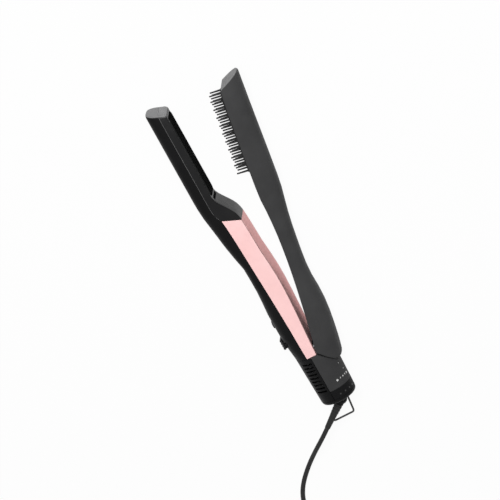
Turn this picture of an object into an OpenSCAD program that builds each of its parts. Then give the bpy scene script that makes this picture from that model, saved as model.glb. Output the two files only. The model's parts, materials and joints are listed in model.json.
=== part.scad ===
// Hair straightening brush: a heated plate arm and a brush arm on one spring hinge, with a fan in the base.
// The styler lies on its side. X runs from the plate arm across to the brush arm, Y from the tail to the
// tips, and the hinge pin stands upright along Z. The origin is on the floor under the middle of the body.
// Every piece is drawn in the styler's own frame first, and at_rest() or on_brush_arm() then places it:
// Y counts from the tail face, X and Z from the axis of the round base, and the brush arm is drawn closed.

/* [Base] */
// Length of the round base, from the tail face to its joint line
base_len = 49; // [46:0.5:54]
// Radius of the base at the tail
tail_r = 16.4; // [15.8:0.1:17]
// Radius of the base at its joint line
base_r = 18; // [17.4:0.1:18.6]
// Length of the end cap
cap_len = 4; // [3.4:0.2:5]
// Radius of the end cap's rounded rim
cap_round = 3.2; // [2:0.2:3.4]
// Angle between the base's slanted front and the X axis
front_lean = 49; // [45:1:52]
// Number of vent slots on each side
vent_count = 9; // [5:1:9]
// Distance from one vent slot to the next
vent_pitch = 3.6; // [3.2:0.1:3.8]
// Width of a vent slot
vent_w = 1.7; // [1.2:0.1:2]
// Length of a vent slot around the base
vent_len = 9.5; // [7:0.5:11]
// Number of indicator lenses round the tail
lens_count = 5; // [3:1:5]
// Radius of an indicator lens
lens_r = 0.8; // [0.6:0.1:1]

/* [Grip] */
// Length of the coloured grip cover, along its middle
grip_len = 143; // [136:1:152]
// Depth of the black shell under the palm, from the base's axis
palm_depth = 20.3; // [19.6:0.1:21]
// Depth of the black shell at the waist
waist_depth = 18.6; // [18:0.1:19.4]
// Half of the grip's width under the palm
palm_half = 15.6; // [15.2:0.1:16.2]
// Half of the grip's width at the waist
waist_half = 14.1; // [13.8:0.1:14.8]
// Wall of the moulded shells
wall = 1.8; // [1.5:0.1:2]
// Seam left between neighbouring shells
seam = 0.4; // [0.3:0.05:0.5]

/* [Plate arm] */
// Length from the grip cover's joint to the foot of the ramp
ramp_len = 26; // [23:0.5:30]
// Length of the floating plate's opening
plate_len = 82; // [76:1:88]
// Length of the arm past the plate
tip_len = 6.5; // [5.5:0.5:9]
// Half of the plate arm's width
arm_half = 13; // [12.6:0.1:13.4]
// Depth of the plate arm's back, from the base's axis
plate_depth = 29.3; // [28.6:0.1:30]
// Depth of the plate arm's rim, from the base's axis
rim_drop = 10.8; // [10.4:0.1:11.4]
// Depth of the plate arm's parting line, from the base's axis
parting_drop = 17.4; // [16.8:0.1:18]
// Half of the heated plate's width
plate_half = 10.8; // [10:0.1:11]
// Thickness of the heated plate
plate_t = 2.6; // [2.2:0.1:3]
// How far the plate stands out of its rim
plate_proud = 0.5; // [0.2:0.1:0.8]
// How far the plate can be pressed in
plate_float = 1; // [0.6:0.1:1.4]

/* [Brush arm] */
// Length of the closed brush arm's tip from the tail face
brush_len = 312; // [306:1:318]
// Depth of the brush arm's back over the palm
brush_palm = 25.6; // [25:0.1:26.2]
// Depth of the brush arm's back at the waist
brush_waist = 20.4; // [20:0.1:21.2]
// Depth of the brush arm's back over the bristles
brush_back = 24.1; // [23.6:0.1:24.8]
// Depth of the brush arm's inner edge over the bristles
brush_edge = 4.4; // [4:0.1:5]
// Half of the brush arm's width at the waist
brush_waist_half = 12.2; // [11.8:0.1:12.8]
// Half of the brush arm's width over the bristles
brush_half = 13.8; // [13.2:0.1:14.2]
// Gap between the arms' inner faces in the grip when closed
arm_gap = 0.9; // [0.7:0.1:1.4]
// Number of bristles in a row
bristle_count = 9; // [6:1:9]
// Distance from one bristle to the next along a row
bristle_pitch = 8.4; // [7.6:0.1:8.6]
// Distance from one row to the next
row_pitch = 4.4; // [4:0.1:4.6]
// Length of a bristle out of its pad
bristle_len = 10.8; // [9:0.1:11]
// Radius of a bristle at its root
bristle_r = 0.75; // [0.6:0.05:0.85]

/* [Hinge] */
// Distance of the hinge pin from the joint line
hinge_past = 4.2; // [4:0.1:5]
// Height of the hinge pin above the base's axis
hinge_x = 3; // [2.6:0.1:3.4]
// Radius of the hinge pin
pin_r = 1.5; // [1.2:0.1:1.7]
// Radius of the hinge eyes
eye_r = 3.4; // [3.2:0.1:3.6]
// Half of the width of the brush arm's eye
eye_half = 6.2; // [5.6:0.1:6.6]
// Thickness of each fixed hinge lug
lug_t = 3.2; // [2.8:0.1:3.6]
// Angle between the arms at rest
open_angle = 8.4; // [7.6:0.1:9]

/* [Controls] */
// Length of the power slider
slider_len = 10; // [8:0.5:11]
// Travel of the power slider
slider_travel = 6; // [4:0.5:6.5]
// How far the slider stands off the shell
slider_rise = 2; // [1.4:0.1:2.6]
// Radius of the heat button
button_r = 3.6; // [3:0.1:4.2]
// Travel of the heat button
button_travel = 0.6; // [0.4:0.1:0.8]

/* [Cord end] */
// Radius of the swivel shaft in the end cap
swivel_r = 4.6; // [4.2:0.1:5]
// Radius of the swivel's outer ball
ball_r = 5.2; // [5:0.1:5.6]
// Angle of the cord's exit from the tail axis
exit_lean = 51; // [45:1:56]
// Length of the strain relief
relief_len = 25; // [20:1:30]
// Radius of the strain relief at its root
relief_r = 3.4; // [3:0.1:3.8]
// Radius of the mains cord
cord_r = 2.1; // [1.9:0.05:2.3]
// Radius of the hang loop's wire
wire_r = 0.9; // [0.8:0.05:1]

/* [Hidden] */
$fn = 48;

// Clearance between pieces that move past each other
clear = 0.3;
// Running clearance of a shaft in its bush
running = 0.1;
// Steps round one half section
arc_n = 14;
// Rounding of both arms' tips
tip_round = 3;
// Squareness of a section: 2 is an ellipse, and more is squarer
round_base = 2;
round_grip = 2.3;
round_arm = 2.8;
round_top = 8;
// Depth of the rounded corner along the lower arm's inner edges
top_corner = 2.2;

// Places along the styler
joint_y = base_len + grip_len;
plate_y = joint_y + ramp_len;
plate_end = plate_y + plate_len;
arm_len = plate_end + tip_len;
hinge_y = base_len + hinge_past;
palm_y = base_len + 0.26 * grip_len;
waist_y = base_len + 0.56 * grip_len;
brush_tail = base_len - 11;
pad_y = plate_y + 8;
slider_y = hinge_y + 13.3;
button_y = slider_y + 19.5;

// The grip cover meets the plate frame on a plane that leans back from this height by this slope
joint_mid = -4;
joint_slope = -0.4;
// The plate arm's tip leans by this slope, and the brush arm's tip by this slope from this height
arm_tip_slope = -0.36;
brush_tip_slope = 0.57;
brush_tip_mid = 14;
// The brush arm's slanted tail blends into straight sections over this length
tail_blend = 28;
// Gap between the base's slanted front and the brush arm's tail at rest, along Y
front_gap = 1;
// Height at which the base's front starts to slant
front_x = hinge_x + 1;

// Value at y of a smooth curve through a few points [y, value]
function secant(p, i) = (p[i + 1][1] - p[i][1]) / (p[i + 1][0] - p[i][0]);
function slope(p, i) =
    i == 0 ? secant(p, 0)
    : i == len(p) - 1 ? secant(p, i - 1)
    : let (a = secant(p, i - 1), b = secant(p, i)) a * b <= 0 ? 0 : 2 * a * b / (a + b);
function span(p, y, i = 0) = i >= len(p) - 2 || y < p[i + 1][0] ? i : span(p, y, i + 1);
function along(p, y) =
    y <= p[0][0] ? p[0][1]
    : y >= p[len(p) - 1][0] ? p[len(p) - 1][1]
    : let (i = span(p, y), d = p[i + 1][0] - p[i][0], t = (y - p[i][0]) / d)
      p[i][1] * (2 * t ^ 3 - 3 * t ^ 2 + 1) + slope(p, i) * d * (t ^ 3 - 2 * t ^ 2 + t)
      + p[i + 1][1] * (3 * t ^ 2 - 2 * t ^ 3) + slope(p, i + 1) * d * (t ^ 3 - t ^ 2);

// Outlines of the lower arm: its back, the black shell's edge, the flat inner face and half its width
back_line = [
    [base_len, -base_r], [palm_y - 8, -palm_depth], [palm_y + 10, -palm_depth],
    [waist_y - 8, -waist_depth], [waist_y + 12, -waist_depth], [joint_y - 27, -plate_depth + 6.2],
    [joint_y - 7, -plate_depth + 3.3], [joint_y + 11, -plate_depth + 0.9], [plate_y, -plate_depth],
    [arm_len, -plate_depth]
];
edge_line = [
    [base_len, -6.2], [palm_y - 6, -7.2], [waist_y + 15, -10.1], [joint_y + 3, -parting_drop + 4.1],
    [joint_y + 11, -parting_drop + 0.3], [plate_y, -parting_drop], [arm_len, -parting_drop]
];
top_line = [
    [base_len, 3.6], [palm_y - 9, 4.9], [palm_y + 7, 5.8], [waist_y - 9, 6.7], [waist_y + 3, 6.5],
    [waist_y + 29, 4.5], [joint_y - 14, 3.8], [joint_y - 2, 3], [joint_y + 5, 1.2],
    [joint_y + 11, -2.4], [joint_y + 17, -6.6], [plate_y - 4, -rim_drop + 1.2], [plate_y, -rim_drop],
    [arm_len, -rim_drop]
];
width_line = [
    [base_len, base_r], [hinge_y + 7, palm_half + 1.2], [palm_y - 6, palm_half],
    [waist_y - 18, waist_half + 0.6], [waist_y + 20, waist_half], [joint_y, arm_half + 0.4],
    [plate_y, arm_half], [plate_end, arm_half], [arm_len, arm_half - 0.4]
];
// Outlines of the closed brush arm: its back, its inner edge and half its width
brush_back_line = [
    [brush_tail, brush_palm - 2.2], [hinge_y, brush_palm - 0.8], [palm_y - 9, brush_palm],
    [palm_y + 9, brush_palm - 0.8], [palm_y + 23, brush_waist + 2.1], [waist_y - 7, brush_waist + 0.3],
    [waist_y + 6, brush_waist], [waist_y + 35, brush_waist + 0.4], [joint_y - 6, brush_back - 1.8],
    [joint_y + 5, brush_back - 0.5], [plate_y - 2, brush_back], [plate_end - 11, brush_back - 0.4],
    [brush_len, brush_back - 0.4]
];
brush_edge_line = concat(
    [for (y = [base_len, palm_y - 9, palm_y + 7, waist_y - 9]) [y, along(top_line, y) + arm_gap]],
    [
        [waist_y + 12, 7.9], [waist_y + 31, 7.7], [joint_y - 6, 6.3], [joint_y + 8, brush_edge + 0.4],
        [plate_y, brush_edge], [plate_end + 3, brush_edge + 0.05], [brush_len, brush_edge + 1.6]
    ]
);
brush_width_line = [
    [brush_tail, 17.4], [hinge_y + 7, 16.9], [palm_y - 11, 16], [palm_y + 14, 14.8],
    [waist_y - 4, brush_waist_half + 0.4], [waist_y + 14, brush_waist_half],
    [waist_y + 36, brush_waist_half + 0.2], [joint_y - 2, brush_half - 0.5], [plate_y - 3, brush_half],
    [plate_end, brush_half - 0.3], [brush_len, brush_half - 0.8]
];

// Radius of the base at y
function base_at(y) = tail_r + (base_r - tail_r) * y / base_len;
// How much a section shrinks at distance d from a rounded end
function end_drop(d, r) = d >= r ? 0 : r - sqrt(r ^ 2 - (r - max(0, d)) ^ 2);
// Height at which the lower arm's section is widest
function mid_line(y) = along(edge_line, y) * min(1, max(0, (y - base_len) / (hinge_y - base_len + 7)));
function squareness(y) =
    along([[base_len, round_base], [palm_y, round_grip], [joint_y, round_arm], [arm_len, round_arm]], y);

// One half section, from side to side: x runs from the middle c out to b, and starts at edge e
function bow(w, c, b, e, p) =
    let (
        side = sign(b - c),
        first = e == c ? 0 : asin(pow(abs((e - c) / (b - c)), p / 2))
    )
    [for (i = [0 : arc_n]) let (a = first + (180 - 2 * first) * i / arc_n)
        [c + (b - c) * pow(abs(sin(a)), 2 / p), -side * w * sign(cos(a)) * pow(abs(cos(a)), 2 / p)]];
// Half of the lower arm's width at its shell's edge
function edge_half(y) =
    let (b = along(back_line, y), c = mid_line(y), e = along(edge_line, y), p = squareness(y))
    along(width_line, y) * pow(1 - pow(abs((e - c) / (b - c)), p), 1 / p);

// Lean of the plane between grip cover and plate frame, faded out on both sides of it
function joint_lean(y) = along([[joint_y - 22, 0], [joint_y, joint_slope], [joint_y + 14, 0]], y);
function leaned(line, y) = along(line, y + joint_lean(y) * (along(line, y) - joint_mid));
// Lean of the plate arm's tip
function tip_lean(y) = along([[plate_end - 8, 0], [arm_len, arm_tip_slope]], y);

// Section of the black lower shell at y, drawn smaller by inset
function shell_ring(y, inset) =
    let (
        round_off = end_drop(arm_len - y, tip_round) + inset,
        arc = bow(along(width_line, y) - round_off, mid_line(y), along(back_line, y) + round_off,
            along(edge_line, y), squareness(y))
    )
    [for (q = arc) [q[0], y + tip_lean(y) * (q[0] + parting_drop), q[1]]];

// Section of the pieces above the black shell's edge at y, drawn smaller by inset
function upper_ring(y, inset) =
    let (
        round_off = end_drop(arm_len - y, tip_round) + inset,
        w = edge_half(y) - round_off,
        e = leaned(edge_line, y) + seam / 2,
        t = leaned(top_line, y) - round_off,
        arc = bow(w, t - top_corner, t, t - top_corner, round_top),
        ends = concat([[e, -w]], arc, [[e, w]])
    )
    [for (q = ends)
        [q[0], y + joint_lean(y) * (q[0] - joint_mid) + tip_lean(y) * (q[0] + parting_drop), q[1]]];

// A point of the styler's side view, turned with the brush arm about the hinge
function turned(q, a) =
    [hinge_x + (q[0] - hinge_x) * cos(a) - (q[1] - hinge_y) * sin(a),
     hinge_y + (q[0] - hinge_x) * sin(a) + (q[1] - hinge_y) * cos(a)];
// The brush arm's slanted tail, closed
tail_corner = turned([front_x, base_len + front_gap], open_angle);
function tail_end(x) =
    max(brush_tail, tail_corner[1] - tan(front_lean - open_angle) * (x - tail_corner[0]));
function brush_y(y, x) =
    y + (tail_end(x) - brush_tail) * max(0, 1 - (y - brush_tail) / tail_blend)
    + along([[plate_end - 6, 0], [brush_len, brush_tip_slope]], y) * (x - brush_tip_mid);
// Section of the closed brush arm's shell at y, drawn smaller by inset
function brush_ring(y, inset) =
    let (
        round_off = end_drop(y - brush_tail, tip_round) + end_drop(brush_len - y, tip_round) + inset,
        e = along(brush_edge_line, y),
        arc = bow(along(brush_width_line, y) - round_off, e, along(brush_back_line, y) - round_off, e,
            round_arm)
    )
    [for (q = arc) [q[0], brush_y(y, q[0]), q[1]]];

// Places from a up to b, b left out
function steps(a, b, n) = [for (i = [0 : n - 1]) a + (b - a) * i / n];
function last(list) = list[len(list) - 1];
// The same places, drawn together to leave a wall at both ends
function inside(ys) =
    let (a = ys[0], b = last(ys)) [for (y = ys) a + wall + (y - a) * (b - a - 2 * wall) / (b - a)];
tip_steps = [-tip_round, -tip_round / 2, -tip_round / 6, 0];
lower_ys = concat(steps(base_len + seam / 2, joint_y - 22, 10), steps(joint_y - 22, plate_y, 9),
    steps(plate_y, arm_len - tip_round, 4), [for (s = tip_steps) arm_len + s]);
grip_ys = concat(steps(base_len + seam, joint_y - 22, 9), steps(joint_y - 22, joint_y - seam / 2, 5),
    [joint_y - seam / 2]);
frame_ys = concat(steps(joint_y + seam / 2, plate_y, 9), steps(plate_y, arm_len - tip_round, 3),
    [for (s = tip_steps) arm_len + s]);
brush_ys = concat([for (s = tip_steps) brush_tail - last(tip_steps) + tip_round + s],
    steps(brush_tail + tail_blend / 3, brush_tail + tail_blend, 3),
    steps(brush_tail + tail_blend, joint_y + 20, 12), steps(joint_y + 20, brush_len - tip_round, 4),
    [for (s = tip_steps) brush_len + s]);

// Reach of the body at rest, and the floor point under its middle
brush_reach = [for (y = brush_ys, q = brush_ring(y, 0)) turned([q[0], q[1]], -open_angle)];
loop_reach = 20.9 + wire_r;
middle_x = (max([for (q = brush_reach) q[0]]) - plate_depth) / 2;
middle_y = (max([for (q = brush_reach) q[1]]) - loop_reach) / 2;

// Places a piece that is drawn in the styler's own frame
module at_rest() {
    translate([-middle_x, -middle_y, base_r]) children();
}
// Places a piece that is drawn on the closed brush arm
module on_brush_arm() {
    at_rest() translate([hinge_x, hinge_y, 0]) rotate([0, 0, -open_angle])
        translate([-hinge_x, -hinge_y, 0]) children();
}
// Places a cord piece, whose heights count from the floor
module on_floor() {
    translate([-middle_x, -middle_y, 0]) children();
}

// Turns a shape that is drawn upright so that its axis runs along Y
module about_y() {
    rotate([-90, 0, 0]) children();
}
// Turns a shape that is drawn upright so that its axis runs along X
module about_x() {
    rotate([0, 90, 0]) children();
}
// A shape drawn in the side view, with a thickness across the styler
module side_view(half) {
    translate([0, 0, -half]) linear_extrude(2 * half) children();
}
// A block from corner to corner
module block(low, high) {
    translate(low) cube(high - low);
}

// Solid between an outer and an inner set of half sections: a boat-shaped shell with closed ends
module boat(outer, inner) {
    n = len(outer[0]);
    rows = len(outer);
    shift = n * rows;
    polyhedron(
        points = concat([for (r = outer, q = r) q], [for (r = inner, q = r) q]),
        faces = concat(
            [for (k = [0 : rows - 2], i = [0 : n - 2], f = [[0, 1, n + 1], [0, n + 1, n]])
                [for (j = f) k * n + i + j]],
            [for (k = [0 : rows - 2], i = [0 : n - 2], f = [[0, n + 1, 1], [0, n, n + 1]])
                [for (j = f) shift + k * n + i + j]],
            [for (i = [1 : n - 2]) [0, i + 1, i]],
            [for (i = [1 : n - 2]) [shift, shift + i, shift + i + 1]],
            [for (i = [1 : n - 2]) [for (j = [0, i, i + 1]) (rows - 1) * n + j]],
            [for (i = [1 : n - 2]) [for (j = [0, i + 1, i]) shift + (rows - 1) * n + j]],
            [for (k = [0 : rows - 2], f = [[0, n, shift + n], [0, shift + n, shift]])
                [for (j = f) k * n + j]],
            [for (k = [1 : rows - 1], f = [[n - 1, -1, shift - 1], [n - 1, shift - 1, shift + n - 1]])
                [for (j = f) k * n + j]],
            [[n - 1, 0, shift], [n - 1, shift, shift + n - 1]],
            [for (f = [[0, n - 1, shift + n - 1], [0, shift + n - 1, shift]])
                [for (j = f) (rows - 1) * n + j]]
        )
    );
}

// Solid through a row of closed sections with equal numbers of points
module loft(rings) {
    m = len(rings[0]);
    rows = len(rings);
    polyhedron(
        points = [for (r = rings, q = r) q],
        faces = concat(
            [for (k = [0 : rows - 2], i = [0 : m - 1], f = [[0, 1, 3], [0, 3, 2]])
                [for (j = f) (k + floor(j / 2)) * m + (i + j % 2) % m]],
            [[for (i = [m - 1 : -1 : 0]) i]],
            [[for (i = [0 : m - 1]) (rows - 1) * m + i]]
        )
    );
}

// Round tube swept along points
function unit(v) = v / norm(v);
function heading(path, k) = unit(path[min(k + 1, len(path) - 1)] - path[max(k - 1, 0)]);
module swept_tube(path, r, sides) {
    loft([for (k = [0 : len(path) - 1])
        let (t = heading(path, k), s = unit(cross(t, [0, 0, 1])), u = cross(s, t))
        [for (i = [0 : sides - 1]) let (a = 360 * (i + 0.5) / sides)
            path[k] + r * (cos(a) * s + sin(a) * u)]]);
}

// Rectangle with round corners
module rounded_plate(low, high, r) {
    translate([low[0] + r, low[1]]) square([high[0] - low[0] - 2 * r, high[1] - low[1]]);
    translate([low[0], low[1] + r]) square([high[0] - low[0], high[1] - low[1] - 2 * r]);
    for (x = [low[0] + r, high[0] - r], y = [low[1] + r, high[1] - r])
        translate([x, y]) circle(r);
}

// Screw with its head at the origin, its shank along +X
module screw(head_r, head_t, shank_r, length) {
    difference() {
        union() {
            about_x() cylinder(h = head_t, r = head_r);
            translate([head_t, 0, 0]) about_x() cylinder(h = length - head_t, r = shank_r);
        }
        block([-1, -head_r * 0.6, -0.3], [head_t * 0.45, head_r * 0.6, 0.3]);
        block([-1, -0.3, -head_r * 0.6], [head_t * 0.45, 0.3, head_r * 0.6]);
    }
}

// Hinge bracket plate and its posts, which other pieces line up with
bracket_x = -8.5;
bracket_t = 2;
bracket_end = hinge_y + 18.8;
post_y = hinge_y + 13.2;
post_z = 8.4;
post_r = 2.8;
// Circuit board and its posts
board_x = -12.8;
board_t = 1.6;
board_half = 9;
board_low = bracket_end + 5;
board_high = board_low + 72;
board_post_r = 1.8;
board_posts = [for (y = [board_low + 4, board_high - 4], z = [-6.4, 6.4]) [y, z]];
// Radius of a screw shank and of the hole it goes into
shank_r = 1.1;
screw_hole_r = 1.2;

// Slot in the shell for the power slider's neck
slider_neck = 4;
slider_foot = 4;

module lower_shell() {
    color([0.08, 0.08, 0.085]) at_rest() difference() {
        union() {
            boat([for (y = lower_ys) shell_ring(y, 0)],
                [for (y = inside(lower_ys)) shell_ring(y, wall)]);
            for (z = [-post_z, post_z])
                translate([-palm_depth + wall / 2 + 0.6, post_y, z]) about_x()
                    cylinder(h = palm_depth - wall / 2 - 0.6 + bracket_x - bracket_t / 2, r = post_r);
            for (p = board_posts)
                translate([along(back_line, p[0]) + wall / 2 + 0.4, p[0], p[1]]) about_x()
                    cylinder(h = board_x - board_t / 2 - along(back_line, p[0]) - wall / 2 - 0.4,
                        r = board_post_r);
        }
        // Screw holes in the hinge bracket's posts
        for (z = [-post_z, post_z])
            translate([-palm_depth + 2 * wall + 0.6, post_y, z]) about_x() cylinder(h = 20, r = screw_hole_r);
        // Slot for the power slider and hole for the heat button
        block([-palm_depth - 5, slider_y - slider_neck / 2 - clear, -slider_neck / 2 - clear],
            [-palm_depth + 4, slider_y + slider_travel + slider_neck / 2 + clear, slider_neck / 2 + clear]);
        translate([-palm_depth - 5, button_y, 0]) about_x() cylinder(h = 9, r = button_r + clear);
        // Way for air and wires from the base
        block([-base_r + 3.6, base_len - 1, -8], [-7.6, base_len + 4, 8]);
    }
}

// Body of revolution of the base between two places along Y, drawn smaller by inset
module base_round(y0, y1, inset) {
    about_y() rotate_extrude($fn = 96)
        polygon([[0, y0], [base_at(y0) - inset, y0], [base_at(y1) - inset, y1], [0, y1]]);
}

cover_x = -2.4;
vent_y = base_len - 5.2 - (vent_count - 1) * vent_pitch;

module vent_housing() {
    color([0.08, 0.08, 0.085]) at_rest() difference() {
        intersection() {
            difference() {
                base_round(cap_len + seam / 2, base_len - seam / 2, 0);
                base_round(0, base_len + 1, wall);
            }
            block([-30, 0, -30], [cover_x - seam / 2, base_len + 1, 30]);
        }
        // Vent slots on both sides
        for (i = [0 : vent_count - 1], side = [-1, 1])
            translate([-4.2 - vent_len / 2, vent_y + i * vent_pitch, side * base_r])
                linear_extrude(2 * base_r - 12, center = true) {
                    square([vent_len - vent_w, vent_w], center = true);
                    for (x = [-1, 1]) translate([x * (vent_len - vent_w) / 2, 0]) circle(vent_w / 2);
                }
    }
}

// Outline of the base's top cover in the side view, drawn back by inset along its front
module cover_outline(inset, low_y, low_x) {
    slant = inset / cos(front_lean);
    bend = front_x - (slant - inset) / tan(front_lean);
    top = base_r + 3;
    polygon([
        [low_x, low_y], [top, low_y],
        [top, base_len - slant - tan(front_lean) * (top - front_x)],
        [bend, base_len - inset], [low_x, base_len - inset]
    ]);
}

spigot_len = 2;
lens_y = cap_len + spigot_len + lens_r + 0.4;
lens_step = 18;
lens_angles = [for (i = [0 : lens_count - 1]) lens_step * (i + 1)];

module base_top_cover() {
    color([0.27, 0.27, 0.28]) at_rest() difference() {
        intersection() {
            base_round(cap_len + seam / 2, base_len, 0);
            side_view(base_r + 1) cover_outline(0, cap_len, cover_x + seam / 2);
        }
        intersection() {
            base_round(0, base_len, wall);
            side_view(base_r) cover_outline(wall, -1, cover_x - 3);
        }
        // Room for the hinge eyes
        translate([hinge_x, hinge_y, -eye_half - lug_t - 4])
            cylinder(h = 2 * (eye_half + lug_t + 4), r = eye_r + clear);
        for (a = lens_angles)
            translate([0, lens_y, 0]) rotate([0, a - 90, 0]) about_x() cylinder(h = 30, r = lens_r + 0.05);
    }
}

module indicator_lenses() {
    color([0.9, 0.9, 0.88]) at_rest() for (a = lens_angles)
        translate([0, lens_y, 0]) rotate([0, a - 90, 0]) translate([base_at(lens_y) - wall - 1, 0, 0])
            about_x() cylinder(h = wall + 1.05, r = lens_r);
}

module end_cap() {
    spigot_r = base_at(cap_len) - wall - 0.2;
    color([0.07, 0.07, 0.075]) at_rest() difference() {
        about_y() rotate_extrude($fn = 96) polygon(concat(
            [for (a = [0 : 15 : 90])
                [tail_r - cap_round * (1 - sin(a)), cap_round * (1 - cos(a))]],
            [[base_at(cap_len), cap_len], [spigot_r, cap_len], [spigot_r, cap_len + spigot_len],
             [spigot_r - 1.4, cap_len + spigot_len], [spigot_r - 1.4, cap_len], [0, cap_len], [0, 0]]
        ));
        // Bore for the swivel
        about_y() translate([0, 0, -1]) cylinder(h = cap_len + 2, r = swivel_r + clear);
    }
}

hinge_room = eye_half + lug_t + 4;

module grip_cover() {
    color([0.93, 0.72, 0.7]) at_rest() difference() {
        boat([for (y = grip_ys) upper_ring(y, 0)], [for (y = inside(grip_ys)) upper_ring(y, wall)]);
        // Open way for the hinge
        block([-20, base_len - 1, -hinge_room], [20, hinge_y + 7, hinge_room]);
    }
}

// The heated plate and its opening in the frame
plate_low = plate_y + 1;
plate_high = plate_end - 0.5;
plate_face = -rim_drop + plate_proud;
plate_corner = 4;
// Height of the frame's inner ceiling over the plate
frame_ceiling = -rim_drop - wall;
flange = 2;

module plate_frame() {
    color([0.17, 0.17, 0.18]) at_rest() difference() {
        boat([for (y = frame_ys) upper_ring(y, 0)], [for (y = inside(frame_ys)) upper_ring(y, wall)]);
        // Opening for the floating plate
        translate([-parting_drop + 0.5, 0, 0]) about_x() linear_extrude(parting_drop)
            rounded_plate([-plate_half - clear, plate_low - clear], [plate_half + clear, plate_high + clear],
                plate_corner + clear);
        // Air outlet at the ramp's foot
        block([-rim_drop - 3, plate_y - 3.6, -8.5], [-2, plate_y - 0.9, 8.5]);
    }
}

module heat_plate() {
    color([0.12, 0.12, 0.13]) at_rest() {
        translate([plate_face - plate_t, 0, 0]) about_x() linear_extrude(plate_t)
            rounded_plate([-plate_half, plate_low], [plate_half, plate_high], plate_corner);
        // Flange that holds the plate under the frame at both ends
        translate([frame_ceiling - clear - 1.4, 0, 0]) about_x() linear_extrude(1.4)
            rounded_plate([-plate_half + 2, plate_low - flange], [plate_half - 2, plate_high + flange], 2);
    }
}

strip_x = min(plate_face - plate_t, frame_ceiling - clear - 1.4);
strip_t = 2;
strip_low = plate_low + 8;
strip_high = plate_high - 8;
module heater_strip() {
    color([0.75, 0.7, 0.55]) at_rest()
        block([strip_x - strip_t, strip_low, -7], [strip_x, strip_high, 7]);
}

fuse_r = 1.7;
module thermal_fuse() {
    color([0.8, 0.8, 0.8]) at_rest()
        translate([strip_x - strip_t - fuse_r - 0.05, (strip_low + strip_high) / 2 - 5, 0]) about_y() {
            cylinder(h = 10, r = fuse_r);
            translate([0, 0, -3]) cylinder(h = 16, r = 0.4);
        }
}

carrier_x = -plate_depth + wall + 0.7;
carrier_t = 1.8;
carrier_half = 5.5;
module spring_carrier() {
    color([0.3, 0.3, 0.3]) at_rest() difference() {
        block([carrier_x, strip_low - 2, -carrier_half], [carrier_x + carrier_t, strip_high + 2, carrier_half]);
        for (y = [strip_low + 12, (strip_low + strip_high) / 2, strip_high - 12])
            translate([carrier_x - 1, y, 0]) about_x() cylinder(h = carrier_t + 2, r = 2.5);
    }
}

// Two bowed leaf springs between the carrier and the heater
leaf_t = 0.4;
leaf_len = 24;
leaf_rise = strip_x - strip_t - carrier_x - carrier_t;
function leaf_bow(s, y) = carrier_x + carrier_t + 0.05 + (leaf_rise - leaf_t - 0.1) * sin(180 * s) ^ 2;
module plate_springs() {
    color([0.7, 0.72, 0.75]) at_rest() for (y = [strip_low + 3, strip_high - 3 - leaf_len])
        side_view(3) polygon(concat(
            [for (s = [0 : 0.05 : 1]) [leaf_bow(s, y), y + leaf_len * s]],
            [for (s = [1 : -0.05 : 0]) [leaf_bow(s, y) + leaf_t, y + leaf_len * s]]
        ));
}

duct_low = bracket_end + clear;
duct_high = joint_y - 6;
duct_x = [-9, 0];
module air_duct() {
    color([0.22, 0.22, 0.22]) at_rest() difference() {
        block([duct_x[0], duct_low, -8], [duct_x[1], duct_high, 8]);
        block([duct_x[0] + 1, duct_low - 1, -7], [duct_x[1] - 1, duct_high + 1, 7]);
    }
}

module circuit_board() {
    color([0.1, 0.35, 0.2]) at_rest() {
        block([board_x - board_t / 2, board_low, -board_half], [board_x + board_t / 2, board_high, board_half]);
        // Capacitor, relay and choke on its inner face
        translate([board_x + board_t / 2 + 1.2, board_low + 52, 4]) about_y() cylinder(h = 12, r = 1.3);
        block([board_x, board_low + 18, -7], [board_x + board_t / 2 + 2.4, board_low + 34, 5]);
        block([board_x, board_low + 38, -6], [board_x + board_t / 2 + 2, board_low + 44, 6]);
    }
}

switch_x = board_x - board_t / 2;
button_flange = -palm_depth + wall + clear + 0.4;
flange_t = 0.9;
switch_t = switch_x - button_flange - flange_t - button_travel - 0.1;
module button_switch() {
    color([0.15, 0.15, 0.15]) at_rest() {
        block([switch_x - switch_t + 0.8, button_y - 3, -3], [switch_x, button_y + 3, 3]);
        translate([switch_x - switch_t, button_y, 0]) about_x() cylinder(h = 1.2, r = 1.6);
    }
}

module hinge_bracket() {
    stem_low = base_len + seam / 2 + wall + 0.4;
    color([0.6, 0.6, 0.62]) at_rest() difference() {
        union() {
            block([bracket_x - bracket_t / 2, stem_low, -11.4], [bracket_x + bracket_t / 2, bracket_end, 11.4]);
            for (z = [-eye_half - clear - lug_t, eye_half + clear])
                translate([0, 0, z]) linear_extrude(lug_t) {
                    polygon([
                        [bracket_x, stem_low], [bracket_x, hinge_y + eye_r], [hinge_x, hinge_y + eye_r],
                        [hinge_x, hinge_y - eye_r], [-5.4, hinge_y - eye_r], [-5.4, stem_low]
                    ]);
                    translate([hinge_x, hinge_y]) circle(eye_r);
                }
        }
        translate([hinge_x, hinge_y, -30]) cylinder(h = 60, r = pin_r);
        for (z = [-post_z, post_z])
            translate([bracket_x - 5, post_y, z]) about_x() cylinder(h = 10, r = screw_hole_r);
    }
}

module hinge_screws() {
    color([0.75, 0.75, 0.75]) at_rest() for (z = [-post_z, post_z])
        translate([bracket_x + bracket_t / 2 + 1.4, post_y, z]) mirror([1, 0, 0]) screw(2.3, 1.4, shank_r, 8);
}

pin_half = eye_half + clear + lug_t + 3.4;
module hinge_pin() {
    color([0.8, 0.8, 0.82]) at_rest() translate([hinge_x, hinge_y, -pin_half]) cylinder(h = 2 * pin_half, r = pin_r);
}

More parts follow.
